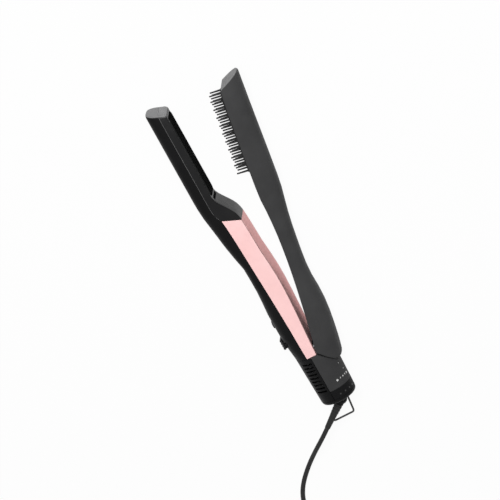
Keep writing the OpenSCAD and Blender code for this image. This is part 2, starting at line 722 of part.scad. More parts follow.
// Torsion spring on the pin's upper end, with one leg on the bracket and one towards the brush arm
spring_wire = 0.45;
spring_r = pin_r + 0.3 + spring_wire;
spring_turns = 2;
module opening_spring() {
    z0 = eye_half + clear + lug_t + 0.2 + spring_wire;
    pitch = 2 * spring_wire + 0.08;
    coil = [for (a = [0 : 22.5 : 360 * spring_turns])
        [spring_r * sin(a), spring_r * cos(a), z0 + pitch * a / 360]];
    color([0.7, 0.7, 0.72]) at_rest() translate([hinge_x, hinge_y, 0]) swept_tube(concat(
        [[bracket_x + bracket_t / 2 - hinge_x, spring_r, z0], [-spring_r, spring_r, z0]],
        coil,
        [[spring_r, spring_r, last(coil)[2]], [spring_r + 3.6, spring_r, last(coil)[2]]]
    ), spring_wire, 8);
}

// Fan motor, its cradle and the fan, all on the base's axis
motor_r = 8;
motor_low = cap_len + 7;
motor_high = motor_low + 15;
fan_low = motor_high + 2;
fan_high = fan_low + 6.5;
fan_r = 12.6;
fan_hub = 5;
shaft_r = 1;
module motor_cradle() {
    arm_y = (motor_low + motor_high) / 2;
    color([0.25, 0.25, 0.25]) at_rest() about_y() translate([0, 0, arm_y - 4]) difference() {
        union() {
            cylinder(h = 8, r = motor_r + 2);
            for (a = [30, 150, 270]) rotate([0, 0, a])
                block([motor_r + 1, -1.5, 0], [base_at(arm_y - 4) - wall - clear - 0.1, 1.5, 8]);
        }
        translate([0, 0, -1]) cylinder(h = 10, r = motor_r + 0.05);
    }
}
module fan_motor() {
    color([0.55, 0.55, 0.58]) at_rest() about_y() difference() {
        union() {
            translate([0, 0, motor_low]) cylinder(h = motor_high - motor_low, r = motor_r);
            translate([0, 0, motor_high - 0.5]) cylinder(h = 1.5, r = 3);
        }
        translate([0, 0, motor_high - 3]) cylinder(h = 6, r = shaft_r + running);
    }
}
module fan_impeller() {
    color([0.2, 0.2, 0.22]) at_rest() about_y() {
        translate([0, 0, fan_low]) cylinder(h = fan_high - fan_low, r = fan_hub);
        translate([0, 0, motor_high - 2.5]) cylinder(h = fan_low - motor_high + 3, r = shaft_r);
        intersection() {
            translate([0, 0, fan_low + 0.8]) difference() {
                cylinder(h = fan_high - fan_low - 1.6, r = fan_r);
                translate([0, 0, -1]) cylinder(h = 10, r = fan_hub - 0.6);
            }
            for (a = [0 : 360 / 7 : 359]) rotate([0, 0, a])
                translate([fan_r / 2, 0, (fan_low + fan_high) / 2]) rotate([50, 0, 0])
                    cube([fan_r + 4, 1, 12], center = true);
        }
    }
}

// Screws between the brush arm's inner cover and its shell, and the posts they go into
cover_t = 2;
cover_inset = 0.8;
screw_ys = [palm_y + 6, waist_y + 22, joint_y + 16];
function cover_at(y) = along(brush_edge_line, y) + cover_inset;

module brush_shell() {
    color([0.27, 0.27, 0.28]) on_brush_arm() difference() {
        union() {
            boat([for (y = brush_ys) brush_ring(y, 0)], [for (y = inside(brush_ys)) brush_ring(y, wall)]);
            for (y = screw_ys)
                translate([cover_at(y) + cover_t + 0.3, y, 0]) about_x()
                    cylinder(h = along(brush_back_line, y) - wall / 2 - cover_at(y) - cover_t - 0.3, r = 2.4);
        }
        for (y = screw_ys)
            translate([cover_at(y), y, 0]) about_x() cylinder(h = 8, r = screw_hole_r);
        // Room for the hinge eyes and the pin
        translate([hinge_x, hinge_y, -hinge_room]) cylinder(h = 2 * hinge_room, r = eye_r + clear);
    }
}

// Inner cover of the brush arm, a thin strip that follows the shell's edge
cover_ys = concat(steps(hinge_y + 9.5, joint_y + 20, 12), steps(joint_y + 20, brush_len - 7, 5), [brush_len - 7]);
function cover_ring(y) =
    let (
        w = along(brush_width_line, y) - wall - clear - end_drop(brush_len - 7 - y, 4)
            - end_drop(y - hinge_y - 9.5, 3),
        x = cover_at(y)
    )
    [for (q = [[x, -w], [x, w], [x + cover_t, w - 0.2], [x + cover_t, 0.2 - w]]) [q[0], y, q[1]]];
module brush_cover() {
    color([0.1, 0.1, 0.105]) on_brush_arm() difference() {
        loft([for (y = cover_ys) cover_ring(y)]);
        for (y = screw_ys) translate([cover_at(y) - 1, y, 0]) about_x() {
            cylinder(h = cover_t + 3, r = screw_hole_r);
            cylinder(h = 2.4, r = 2.3);
        }
    }
}
module cover_screws() {
    color([0.3, 0.3, 0.32]) on_brush_arm() for (y = screw_ys)
        translate([cover_at(y) + 0.2, y, 0]) screw(2.1, 1.2, shank_r, 7.5);
}

module hinge_block() {
    top = brush_palm - wall - 2.1;
    color([0.35, 0.35, 0.36]) on_brush_arm() difference() {
        side_view(eye_half) {
            translate([hinge_x, hinge_y]) circle(eye_r);
            polygon([
                [hinge_x, hinge_y - eye_r + 0.4], [hinge_x + 6, hinge_y - 2.8], [top, hinge_y - 2.8],
                [top, hinge_y + 6.4], [hinge_x + 6, hinge_y + 6.4], [hinge_x, hinge_y + eye_r - 0.4]
            ]);
        }
        translate([hinge_x, hinge_y, -30]) cylinder(h = 60, r = bush_r);
    }
}
bush_r = pin_r + 0.8;
module hinge_bushes() {
    color([0.78, 0.62, 0.3]) on_brush_arm() for (z = [-eye_half, eye_half - 4])
        translate([hinge_x, hinge_y, z]) difference() {
            cylinder(h = 4, r = bush_r);
            translate([0, 0, -1]) cylinder(h = 6, r = pin_r + running);
        }
}

// Bristles: a pad on the inner cover and five staggered rows
pad_x = brush_edge - 0.7;
pad_half = 2 * row_pitch + 1.8;
pad_end = pad_y + (bristle_count - 1) * bristle_pitch + 13;
rail_t = 0.5;
bristle_tip_r = 0.5;
module bristle_pad() {
    color([0.06, 0.06, 0.065]) on_brush_arm() translate([pad_x, 0, 0]) about_x()
        linear_extrude(brush_edge + cover_inset - pad_x - 0.05)
            rounded_plate([-pad_half, pad_y], [pad_half, pad_end], 4);
}
module bristle_row(row) {
    first = pad_y + 4 + bristle_pitch * (row % 3) / 3;
    z = (row - 2) * row_pitch;
    color([0.05, 0.05, 0.055]) on_brush_arm() {
        block([pad_x - rail_t, first - 1.2, z - 1], [pad_x, first + (bristle_count - 1) * bristle_pitch + 1.2, z + 1]);
        for (i = [0 : bristle_count - 1])
            translate([pad_x - rail_t / 2, first + i * bristle_pitch, z]) mirror([1, 0, 0]) about_x() {
                cylinder(h = bristle_len - rail_t / 2, r1 = bristle_r, r2 = bristle_tip_r, $fn = 16);
                translate([0, 0, bristle_len - rail_t / 2]) sphere(bristle_tip_r + 0.08, $fn = 16);
            }
    }
}
module bristle_row_1() bristle_row(0);
module bristle_row_2() bristle_row(1);
module bristle_row_3() bristle_row(2);
module bristle_row_4() bristle_row(3);
module bristle_row_5() bristle_row(4);

module power_slider() {
    under = -palm_depth - clear;
    foot_x = along(back_line, slider_y - slider_foot) + wall + clear + 1.4;
    half = slider_len / 2;
    color([0.16, 0.16, 0.17]) at_rest() translate([0, slider_y, 0]) {
        // Thumb piece with finger ribs
        side_view(4.6) polygon(concat(
            [[under, -half], [under - slider_rise + 0.6, -half]],
            [for (i = [0 : 6]) [under - slider_rise + 0.5 * (i % 2), -half + 1.2 + i * (slider_len - 2.4) / 6]],
            [[under - slider_rise + 0.6, half], [under, half]]
        ));
        block([under - 0.5, -slider_neck / 2, -slider_neck / 2], [foot_x + 0.4, slider_neck / 2, slider_neck / 2]);
        block([foot_x, -slider_foot, -slider_foot], [foot_x + 1.2, slider_foot, slider_foot]);
    }
}

module heat_button() {
    color([0.16, 0.16, 0.17]) at_rest() translate([0, button_y, 0]) about_x() difference() {
        union() {
            translate([0, 0, -palm_depth - button_travel - 0.3])
                cylinder(h = palm_depth + button_travel + 0.3 + button_flange + 0.4, r = button_r);
            translate([0, 0, button_flange]) cylinder(h = flange_t, r = button_r + 1);
        }
        // Finger dish
        translate([0, 0, -palm_depth - button_travel - 0.3 - 11.7]) sphere(12, $fn = 64);
    }
}

ball_y = -2.4;
exit_dir = [-sin(exit_lean), -cos(exit_lean)];
stub_len = 5.6;
lug_y = -3;
lug_drop = 6.8;
lug_half = 2.5;
// Places a piece on the cord's exit axis, with its own axis along it
module on_exit(start) {
    at_rest() translate([exit_dir[0] * start, ball_y + exit_dir[1] * start, 0])
        rotate([0, 0, 270 - exit_lean]) about_x() children();
}
module swivel_collar() {
    color([0.2, 0.2, 0.2]) difference() {
        union() {
            at_rest() {
                about_y() translate([0, 0, ball_y]) cylinder(h = cap_len + 3.8 - ball_y, r = swivel_r);
                translate([0, ball_y, 0]) sphere(ball_r, $fn = 64);
                // Lug for the hang loop
                block([-lug_half, lug_y - 2.1, -lug_drop], [lug_half, lug_y + 2.1, -2]);
                translate([-lug_half, lug_y, -lug_drop]) about_x() cylinder(h = 2 * lug_half, r = 2.1);
            }
            on_exit(0) cylinder(h = stub_len, r = relief_r + 0.5);
        }
        at_rest() {
            translate([-5, lug_y, -lug_drop]) about_x() cylinder(h = 10, r = wire_r + clear);
            // Groove for the clip
            about_y() translate([0, 0, cap_len + clear]) difference() {
                cylinder(h = 1.4, r = swivel_r + 1);
                translate([0, 0, -1]) cylinder(h = 4, r = swivel_r - 1);
            }
        }
    }
}
module swivel_clip() {
    color([0.7, 0.7, 0.72]) at_rest() about_y() translate([0, 0, cap_len + clear + 0.1]) difference() {
        cylinder(h = 1.2, r = swivel_r + 2);
        translate([0, 0, -1]) cylinder(h = 4, r = swivel_r - 0.9);
        block([-2.4, 0, -1], [2.4, 10, 3]);
    }
}

rib_pitch = 3;
rib_count = floor((relief_len - 5) / rib_pitch);
module strain_relief() {
    color([0.05, 0.05, 0.05]) on_exit(stub_len) {
        cylinder(h = relief_len, r1 = relief_r, r2 = cord_r + 0.3);
        for (i = [0 : rib_count - 1])
            translate([0, 0, 1.6 + i * rib_pitch])
                cylinder(h = 1.7, r = relief_r + 0.3 - i * (relief_r - cord_r) / rib_count);
    }
}

// Route of the mains cord, heights from the floor: straight out, down and along the floor to the hank
cord_route = [
    [-23.4, -21.3, 18], [-27, -24.2, 18], [-31, -27.4, 17.7], [-35, -30.6, 16.6], [-38.9, -33.8, 14.7],
    [-42.8, -37.1, 12.3], [-46.6, -40.4, 9.8], [-50.4, -43.8, 7.2], [-54.1, -47.2, 4.9], [-57.8, -50.7, 3.2],
    [-61.5, -54.3, 2.3], [-65.1, -58, 2.1], [-68.5, -61.8, 2.1], [-71.7, -65.9, 2.1], [-74.5, -70.3, 2.1],
    [-76.8, -75, 2.1], [-78.5, -80, 2.1], [-79.4, -86, 2.1], [-79.6, -92, 2.1], [-79.6, -98, 2.1],
    [-79.6, -104, 2.1], [-79.6, -110, 2.1]
];
// The hank: turns of cord with round ends, laid beside each other and stacked
hank_x = -97;
hank_near = -98;
hank_turn_r = 13.2;
hank_straight = 63;
hank_layers = 4;
hank_outer = hank_turn_r + 3 * cord_r;
hank_top = 2 * cord_r * hank_layers;
// End of the cord, from the hank's top turn round to the plug's tail
plug_route = [
    [-79.6, -157, 14.6], [-79.6, -163, 16.4], [-79.6, -169, 18], [-79.6, -175, 18.9], [-80.4, -180.4, 19],
    [-83, -185.6, 19], [-87.4, -189.4, 19], [-92.8, -190.8, 19], [-98.2, -189.6, 19], [-102.6, -186, 19.2],
    [-105.2, -180.8, 19.6], [-105.4, -175, 20.4], [-103.6, -169.4, 21.6], [-100.6, -164.4, 22.8],
    [-98, -159.2, 23.6], [-97, -153.5, 23.8]
];

module cord_tube() {
    color([0.05, 0.05, 0.05]) on_floor() {
        swept_tube(cord_route, cord_r, 10);
        swept_tube(plug_route, cord_r, 10);
    }
}
module hank_outline(r) {
    far = hank_near - hank_outer - hank_straight;
    translate([hank_x - r, far]) square([2 * r, hank_straight]);
    for (y = [far, far + hank_straight]) translate([hank_x, y]) circle(r);
}
module cord_hank() {
    color([0.06, 0.06, 0.06]) on_floor() linear_extrude(hank_top) difference() {
        hank_outline(hank_outer);
        hank_outline(hank_turn_r - cord_r);
    }
}
tie_y = hank_near - hank_outer - hank_straight / 2;
tie_half = 5;
tie_t = 1;
module hank_tie() {
    color([0.12, 0.12, 0.12]) on_floor() translate([0, tie_y + tie_half, 0]) rotate([90, 0, 0])
        linear_extrude(2 * tie_half) difference() {
            rounded_plate([hank_x - hank_outer - tie_t - 0.1, 0], [hank_x + hank_outer + tie_t + 0.1,
                hank_top + tie_t + 0.1], 0.9);
            translate([hank_x - hank_outer - 0.1, -1]) square([2 * hank_outer + 0.2, hank_top + 1.1]);
        }
}

// Flat two-pin mains plug, lying on the hank
plug_tail = -154;
plug_z = hank_top + 7;
plug_len = 30;
plug_neck = 12;
plug_pin_r = 2;
plug_pin_len = 19;
plug_pin_gap = 18.6;
// Square root of a pin, moulded into the plug
plug_root = 8;
module plug_blade() {
    block([-plug_pin_r / 2, -plug_root, -plug_pin_r / 2], [plug_pin_r / 2, 1, plug_pin_r / 2]);
}
module at_plug_pins() {
    for (x = [-1, 1]) translate([x * plug_pin_gap / 2, plug_neck + plug_len, 0]) children();
}
module plug_body() {
    color([0.06, 0.06, 0.06]) on_floor() translate([hank_x, plug_tail, plug_z]) difference() {
        union() {
            about_y() cylinder(h = plug_neck + 1, r1 = cord_r + 0.5, r2 = 4.4);
            translate([0, plug_neck, 0]) linear_extrude(13.6, center = true) polygon([
                [-6, 0], [-10, 3], [-15.5, 12], [-17.6, 22], [-17.6, plug_len], [17.6, plug_len],
                [17.6, 22], [15.5, 12], [10, 3], [6, 0]
            ]);
        }
        at_plug_pins() plug_blade();
    }
}
module plug_pins() {
    color([0.8, 0.75, 0.6]) on_floor() translate([hank_x, plug_tail, plug_z]) at_plug_pins() {
        about_y() {
            cylinder(h = plug_pin_len - 1, r = plug_pin_r);
            translate([0, 0, plug_pin_len - 1]) cylinder(h = 1, r1 = plug_pin_r, r2 = plug_pin_r - 0.8);
        }
        plug_blade();
    }
}

// Points of a wire through corners, with a round bend at each corner
function bend_points(a, b, c, bend_r) =
    let (
        u = unit(b - a), v = unit(c - b), turn = acos(u * v), cut = bend_r * tan(turn / 2),
        side = sign(u[0] * v[1] - u[1] * v[0]), start = b - u * cut, centre = start + side * bend_r * [-u[1], u[0]]
    )
    [for (i = [0 : 4]) let (t = side * turn * i / 4, d = start - centre)
        centre + [d[0] * cos(t) - d[1] * sin(t), d[0] * sin(t) + d[1] * cos(t)]];
loop_corners = [[-4.8, lug_y], [-19.5, -20.9], [3, -20.3], [4.8, lug_y]];
loop_bend = 1.9;
module hang_loop() {
    c = loop_corners;
    path = concat(
        [[-1.5, lug_y]],
        [for (i = [0 : 3]) each bend_points(i == 0 ? [0, lug_y] : c[i - 1], c[i],
            i == 3 ? [0, lug_y] : c[i + 1], loop_bend)],
        [[1.5, lug_y]]
    );
    color([0.05, 0.05, 0.05]) at_rest() translate([0, 0, -lug_drop]) {
        swept_tube([for (q = path) [q[0], q[1], 0]], wire_r - 0.04, 12);
        translate([-lug_half - 0.5, lug_y, 0]) about_x() cylinder(h = 2 * lug_half + 1, r = wire_r);
    }
}

lower_shell();
vent_housing();
base_top_cover();
end_cap();
grip_cover();
plate_frame();
spring_carrier();
plate_springs();
air_duct();
circuit_board();
button_switch();
hinge_bracket();
hinge_pin();
hinge_screws();
opening_spring();
motor_cradle();
fan_motor();
indicator_lenses();
heat_plate();
heater_strip();
thermal_fuse();
brush_shell();
brush_cover();
hinge_block();
hinge_bushes();
cover_screws();
bristle_pad();
bristle_row_1();
bristle_row_2();
bristle_row_3();
bristle_row_4();
bristle_row_5();
power_slider();
heat_button();
fan_impeller();
swivel_collar();
swivel_clip();
strain_relief();
cord_tube();
cord_hank();
hank_tie();
plug_body();
plug_pins();
hang_loop();
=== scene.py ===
# %% [markdown]
# # A hair straightening brush
#
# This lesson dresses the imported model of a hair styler: a plate arm with a heated plate, a brush
# arm with five rows of bristles, a round vented base and a swivel cord. The solids already have
# their true shapes and joints, so Blender's work is the camera, the cord, the light, the finishes,
# and the details that are too fine for a solid. Everything is in metres, and every piece goes
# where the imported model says.

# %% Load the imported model
import bmesh
import bpy
import json
import math
from mathutils import Matrix, Vector


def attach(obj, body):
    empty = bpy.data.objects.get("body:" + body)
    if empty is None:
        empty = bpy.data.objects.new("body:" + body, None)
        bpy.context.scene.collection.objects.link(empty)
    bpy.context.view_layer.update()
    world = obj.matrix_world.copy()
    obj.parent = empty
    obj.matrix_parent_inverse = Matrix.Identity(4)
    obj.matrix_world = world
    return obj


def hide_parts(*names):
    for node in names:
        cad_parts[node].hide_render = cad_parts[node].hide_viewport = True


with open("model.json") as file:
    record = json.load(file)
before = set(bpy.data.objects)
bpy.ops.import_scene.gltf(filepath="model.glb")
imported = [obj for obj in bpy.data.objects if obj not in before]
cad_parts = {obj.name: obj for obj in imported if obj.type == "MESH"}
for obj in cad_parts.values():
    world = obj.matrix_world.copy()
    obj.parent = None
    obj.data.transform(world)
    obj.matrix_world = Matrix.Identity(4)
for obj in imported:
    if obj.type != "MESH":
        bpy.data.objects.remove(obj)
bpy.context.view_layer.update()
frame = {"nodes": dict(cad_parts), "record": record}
nodes = frame["nodes"]

# %% [markdown]
# ## Where things are measured from
#
# The styler lies on its side. Its own drawing starts at the middle of the tail, with Y towards the
# tips and the hinge pin upright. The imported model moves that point, so one helper turns a place on
# the drawing, in millimetres, into a place in the scene. Heights stay measured from the floor.

# %% From the drawing to the scene
MM = 0.001
TAIL = Vector((-16.1095, -144.342, 0.0))
AXIS_HEIGHT = 18.0


def place(x, y, z):
    """A point of the styler's drawing, in millimetres, with its height above the floor."""
    return (TAIL + Vector((x, y, z))) * MM


print("middle of the tail", tuple(round(v, 4) for v in place(0, 0, AXIS_HEIGHT)))

# %% [markdown]
# The brush arm stands open by 8.4 degrees. Its pieces are easier to think of on the closed arm,
# where everything is square, so a second helper turns them about the hinge.

# %% Places on the brush arm
HINGE = (3.0, 53.2)
OPEN_ANGLE = math.radians(-8.4)


def on_brush_arm(x, y, z):
    """A place on the closed brush arm, in millimetres, turned to the open arm. z is from the
    middle."""
    dx, dy = x - HINGE[0], y - HINGE[1]
    cos, sin = math.cos(OPEN_ANGLE), math.sin(OPEN_ANGLE)
    return place(HINGE[0] + dx * cos - dy * sin, HINGE[1] + dx * sin + dy * cos, AXIS_HEIGHT + z)


# %% [markdown]
# Everything new is put into the scene in the same way, so two short helpers do it: one turns a
# finished form into a mesh, and the other makes an object of any kind of data.

# %% Helpers that put things into the scene
def mesh_of(form, name):
    mesh = bpy.data.meshes.new(name)
    form.to_mesh(mesh)
    form.free()
    return mesh


def put(name, data):
    thing = bpy.data.objects.new(name, data)
    bpy.context.scene.collection.objects.link(thing)
    return thing


# %% [markdown]
# ## The camera
#
# The photograph was taken from almost straight above, with a long lens, so parallel edges stay
# parallel. A camera eight metres away with a narrow view gives the same calm picture. Two
# directions fix how it is turned: the way the picture's right edge points, and the way back to the
# camera. One known point, the middle of the tail, then fixes where the picture sits.

# %% Aim the camera
PICTURE = 500
TAIL_PIXEL = (340.6, 396.9)
PIXELS_PER_METRE = 1150.0
CAMERA_DISTANCE = 8.0
SENSOR = 36.0
PICTURE_RIGHT = (0.8838, -0.4655, -0.0491)
BACK_TO_CAMERA = (0.210, 0.300, 0.931)
NEAREST, FARTHEST = 0.1, 40


def aim_camera():
    right = Vector(PICTURE_RIGHT).normalized()
    back = Vector(BACK_TO_CAMERA).normalized()
    up = back.cross(right).normalized()
    right = up.cross(back).normalized()
    tail = place(0, 0, AXIS_HEIGHT)
    across = (TAIL_PIXEL[0] - PICTURE / 2) / PIXELS_PER_METRE
    upward = -(TAIL_PIXEL[1] - PICTURE / 2) / PIXELS_PER_METRE
    depth = Vector((0, 0, AXIS_HEIGHT * MM)).dot(back)
    centre = right * (tail.dot(right) - across) + up * (tail.dot(up) - upward) + back * depth
    lens = bpy.data.cameras.new("photo_camera")
    lens.sensor_width = SENSOR
    lens.lens = SENSOR * CAMERA_DISTANCE / (PICTURE / PIXELS_PER_METRE)
    lens.clip_start, lens.clip_end = NEAREST, FARTHEST
    camera = put("photo_camera", lens)
    turn = Matrix((right, up, back)).transposed().to_4x4()
    turn.translation = centre + back * CAMERA_DISTANCE
    camera.matrix_world = turn
    bpy.context.scene.camera = camera
    return right, up, back


view_right, view_up, view_back = aim_camera()
print("lens", round(bpy.context.scene.camera.data.lens), "mm")

# %% [markdown]
# ## The mains cord
#
# A styler's lead is 1.8 m of round rubber cable, 4.2 mm thick. It leaves the strain relief with
# its stiffness, sinks to the table within a hand's width, and runs on to a hank held by a strap.
# The whole lead is one tube, swept along its way as a mesh. It stands for two solids of the packed
# model: the loose cord and the hank.

# %% The lead's two loose stretches
CORD_RADIUS = 2.1
FROM_STYLER = [
    (-23.4, -21.3, 18), (-27, -24.2, 18), (-31, -27.4, 17.7), (-35, -30.6, 16.6),
    (-38.9, -33.8, 14.7), (-42.8, -37.1, 12.3), (-46.6, -40.4, 9.8), (-50.4, -43.8, 7.2),
    (-54.1, -47.2, 4.9), (-57.8, -50.7, 3.2), (-61.5, -54.3, 2.3), (-65.1, -58, 2.1),
    (-68.5, -61.8, 2.1), (-71.7, -65.9, 2.1), (-74.5, -70.3, 2.1), (-76.8, -75, 2.1),
    (-78.5, -80, 2.1), (-79.4, -86, 2.1), (-79.6, -92, 2.1), (-79.6, -98, 2.1),
    (-79.6, -104, 2.1), (-79.6, -110, 2.1),
]
TO_PLUG = [
    (-79.6, -157, 14.6), (-79.6, -163, 16.4), (-79.6, -169, 18), (-79.6, -175, 18.9),
    (-80.4, -180.4, 19), (-83, -185.6, 19), (-87.4, -189.4, 19), (-92.8, -190.8, 19),
    (-98.2, -189.6, 19), (-102.6, -186, 19.2), (-105.2, -180.8, 19.6), (-105.4, -175, 20.4),
    (-103.6, -169.4, 21.6), (-100.6, -164.4, 22.8), (-98, -159.2, 23.6), (-97, -153.5, 23.8),
]

# %% [markdown]
# The hank is seven turns with round ends, and a last run that leads to the plug. Each turn keeps
# its own radius and height, and the step to the next turn happens gently round the near fold, as a
# hand lays it.

# %% The turns of the hank
HANK_X = -97.0
NEAR_FOLD_Y = -117.5
FAR_FOLD_Y = -180.5
OUTER_TURN, INNER_TURN = 17.4, 13.2
HANK_TURNS = [
    (OUTER_TURN, 2.1), (INNER_TURN, 2.1), (INNER_TURN, 6.3), (OUTER_TURN, 6.3),
    (OUTER_TURN, 10.5), (INNER_TURN, 10.5), (INNER_TURN, 14.7), (OUTER_TURN, 14.7),
]
LAST_RUN_Y = -150.0
FOLD_STEPS = 20
RUN_STEPS = 10


def eased(t):
    """A share from nought to one that starts and ends gently."""
    return t * t * (3 - 2 * t)


def run(x, start_y, end_y, height):
    return [(x, start_y + (end_y - start_y) * k / RUN_STEPS, height) for k in range(RUN_STEPS)]


def hank_route():
    route = []
    for (radius, height), (next_radius, next_height) in zip(HANK_TURNS, HANK_TURNS[1:]):
        route += run(HANK_X + radius, NEAR_FOLD_Y, FAR_FOLD_Y, height)
        for k in range(FOLD_STEPS):
            angle = -math.pi * k / FOLD_STEPS
            route.append((
                HANK_X + radius * math.cos(angle), FAR_FOLD_Y + radius * math.sin(angle), height))
        route += run(HANK_X - radius, FAR_FOLD_Y, NEAR_FOLD_Y, height)
        for k in range(FOLD_STEPS):
            share = eased(k / FOLD_STEPS)
            angle = math.pi - math.pi * k / FOLD_STEPS
            here = radius + (next_radius - radius) * share
            route.append((
                HANK_X + here * math.cos(angle), NEAR_FOLD_Y + here * math.sin(angle),
                height + (next_height - height) * share))
    radius, height = HANK_TURNS[-1]
    return route + run(HANK_X + radius, NEAR_FOLD_Y, LAST_RUN_Y, height)


cord_points = [place(*p) for p in FROM_STYLER + hank_route() + TO_PLUG]
cord_length = sum((b - a).length for a, b in zip(cord_points, cord_points[1:]))
print(f"{len(cord_points)} points, {cord_length:.3f} m of cord")

# %% [markdown]
# A round tube follows the points. Between each two, one more point is set by the four around it,
# which rounds the way without moving what is there. At every point a ring stands square to the
# way, and each ring is turned as little as possible against the last, so that the tube doesn't
# twist.

# %% Sweep a tube along a way
NEAR_SHARE, FAR_SHARE = 9 / 16, 1 / 16


def rounded(points):
    dense = []
    for i, here in enumerate(points[:-1]):
        before, after = points[max(i - 1, 0)], points[min(i + 2, len(points) - 1)]
        dense += [here, (here + points[i + 1]) * NEAR_SHARE - (before + after) * FAR_SHARE]
    return dense + [points[-1]]


def once_round(count):
    """The cosine and the sine of even steps round a circle."""
    angles = [2 * math.pi * k / count for k in range(count)]
    return [(math.cos(angle), math.sin(angle)) for angle in angles]


def skin(form, rings):
    """Join each ring of points to the next with four-cornered faces."""
    for low, high in zip(rings, rings[1:]):
        for k in range(len(low)):
            n = (k + 1) % len(low)
            form.faces.new((low[k], low[n], high[n], high[k]))


def skin_and_ends(form, rings):
    skin(form, rings)
    form.faces.new(rings[-1])
    form.faces.new(list(reversed(rings[0])))


def swept_tube(name, points, radius, sides=12):
    form = bmesh.new()
    across = None
    rings = []
    for i, here in enumerate(points):
        heading = (points[min(i + 1, len(points) - 1)] - points[max(i - 1, 0)]).normalized()
        if across is None:
            across = heading.orthogonal()
        else:
            across = across - heading * across.dot(heading)
        across.normalize()
        other = heading.cross(across)
        rings.append([
            form.verts.new(here + radius * (across * cos + other * sin))
            for cos, sin in once_round(sides)
        ])
    skin_and_ends(form, rings)
    for face in form.faces:
        face.smooth = len(face.verts) == 4
    return put(name, mesh_of(form, name))


cord_path = rounded(cord_points)
mains_lead = swept_tube("mains_lead", cord_path, CORD_RADIUS * MM)
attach(mains_lead, "cord")
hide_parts("cord_tube", "cord_hank")
print(len(cord_path), "rings in the lead")

# %% [markdown]
# ## The floor and the light
#
# The photograph is a cut-out on white, lit flatly from the camera's side, so the middle of each
# round form is lightest and its borders fall off. Here one large soft lamp hangs near the camera,
# a long one shines from beyond the tips to catch their end faces, and the sky fills the rest. The
# floor and the sky show white to the camera and to reflections, while what lights the object stays
# at a plain level, so that colours render as written.

# %% Helpers for node trees
def combined(tree, operation, first, second):
    """One maths node for an output and either another output or a plain number."""
    maths = tree.nodes.new("ShaderNodeMath")
    maths.operation = operation
    tree.links.new(first, maths.inputs[0])
    if isinstance(second, float):
        maths.inputs[1].default_value = second
    else:
        tree.links.new(second, maths.inputs[1])
    return maths.outputs[0]


def seen_directly(tree):
    """One for camera, glossy and transmitted rays, and nought for the light that falls on
    things."""
    path = tree.nodes.new("ShaderNodeLightPath").outputs
    camera_or_glossy = combined(tree, "MAXIMUM", path["Is Camera Ray"], path["Is Glossy Ray"])
    return combined(tree, "MAXIMUM", camera_or_glossy, path["Is Transmission Ray"])


# %% The white floor
FLOOR_HALF = 3.0
FLOOR_GLOW = 0.95
PAPER_WHITE = 0.88


def white_floor():
    form = bmesh.new()
    corners = [form.verts.new((x, y, 0)) for x, y in ((-1, -1), (1, -1), (1, 1), (-1, 1))]
    for corner in corners:
        corner.co *= FLOOR_HALF
    form.faces.new(corners)
    mesh = mesh_of(form, "studio_floor")
    paper = bpy.data.materials.new("studio_paper")
    paper.use_nodes = True
    tree = paper.node_tree
    tree.nodes.clear()
    matt = tree.nodes.new("ShaderNodeBsdfDiffuse")
    matt.inputs["Color"].default_value = (PAPER_WHITE, PAPER_WHITE, PAPER_WHITE, 1)
    glow = tree.nodes.new("ShaderNodeEmission")
    mix = tree.nodes.new("ShaderNodeMixShader")
    out = tree.nodes.new("ShaderNodeOutputMaterial")
    share = combined(tree, "MULTIPLY", seen_directly(tree), FLOOR_GLOW)
    tree.links.new(share, mix.inputs["Fac"])
    tree.links.new(matt.outputs[0], mix.inputs[1])
    tree.links.new(glow.outputs[0], mix.inputs[2])
    tree.links.new(mix.outputs[0], out.inputs["Surface"])
    mesh.materials.append(paper)
    return put("studio_floor", mesh)


white_floor()

# %% The sky and the soft lamps
SKY_FILL = 0.22
LAMPS = [
    # name, shares of the view's back, up and right, then distance, width, height and level
    ("lamp_by_camera", (1, 0.12, -0.15), 1.6, 0.6, 0.6, 0.74),
    ("lamp_beyond_tips", (0.35, 1, -0.1), 1.5, 1.0, 0.5, 0.45),
]


def white_sky():
    sky = bpy.data.worlds.new("studio_sky")
    bpy.context.scene.world = sky
    sky.use_nodes = True
    tree = sky.node_tree
    background = tree.nodes["Background"]
    background.inputs["Color"].default_value = (1, 1, 1, 1)
    level = tree.nodes.new("ShaderNodeMapRange")
    level.inputs["To Min"].default_value = SKY_FILL
    level.inputs["To Max"].default_value = 1.0
    tree.links.new(seen_directly(tree), level.inputs["Value"])
    tree.links.new(level.outputs["Result"], background.inputs["Strength"])


def soft_lamp(name, direction, distance, width, height, level):
    """A lamp that alone would render a white card at the given level."""
    data = bpy.data.lights.new(name, "AREA")
    data.shape = "RECTANGLE"
    data.size, data.size_y = width, height
    data.energy = level * math.pi ** 2 * distance ** 2
    lamp = put(name, data)
    lamp.location = direction.normalized() * distance
    lamp.rotation_euler = direction.to_track_quat("Z", "Y").to_euler()


white_sky()
for name, (back, up, right), *measures in LAMPS:
    soft_lamp(name, back * view_back + up * view_up + right * view_right, *measures)
bpy.context.scene.view_settings.view_transform = "Standard"
print(len(LAMPS), "soft lamps")

# %% [markdown]
# ## A maker of finishes
#
# Most surfaces here are moulded plastic, lacquer, rubber or metal. They share one recipe: two
# close colours that a broad noise mixes, a roughness that wanders a little, and a fine grain that
# only tilts the surface. Noise in the object's own coordinates needs no unwrapping and stays put
# when a part moves. Values that are the same all over, such as the strength of the reflection, sit
# on the shader itself.

# %% The pieces of the recipe
NO_STRETCH = (1, 1, 1)


def start_finish(name):
    material = bpy.data.materials.new(name)
    material.use_nodes = True
    tree = material.node_tree
    return material, tree, tree.nodes["Principled BSDF"]


